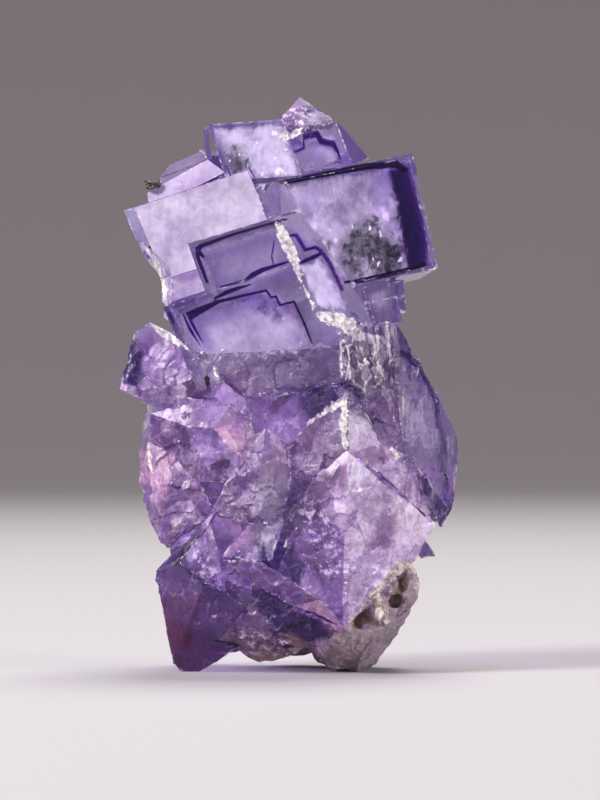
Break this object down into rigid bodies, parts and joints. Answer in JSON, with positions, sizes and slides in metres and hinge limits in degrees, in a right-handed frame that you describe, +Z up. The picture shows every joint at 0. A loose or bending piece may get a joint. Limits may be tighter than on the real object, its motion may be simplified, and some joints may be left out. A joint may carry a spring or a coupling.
{
  "type": "phantom fluorite crystal specimen",
  "caption": "Hand specimen of clear purple fluorite: intergrown cubes with dark growth phantoms above cleaved, broken crystal, with pale rock at its foot. Stands upright on its base.",
  "frame": {"origin": "on the surface that the specimen stands on, below the middle of its width and depth", "axes": "+Z up, the front with the phantom cubes faces -Y, the large upper cube is on the +X side"},
  "size_m": [0.0355, 0.0273, 0.0605],
  "materials": {
    "fluorite": "clear to cloudy purple crystal with smooth cube faces, bright cleavage and dark purple growth phantoms inside",
    "matrix_rock": "rough, pitted, pale grey-beige rock",
    "dark_grain": "dark brown, slightly shiny mineral grain"
  },
  "bodies": {
    "root": {"fluorite": "fluorite", "matrix_rock": "matrix_rock", "dark_grain": "dark_grain"}
  },
  "joints": []
}
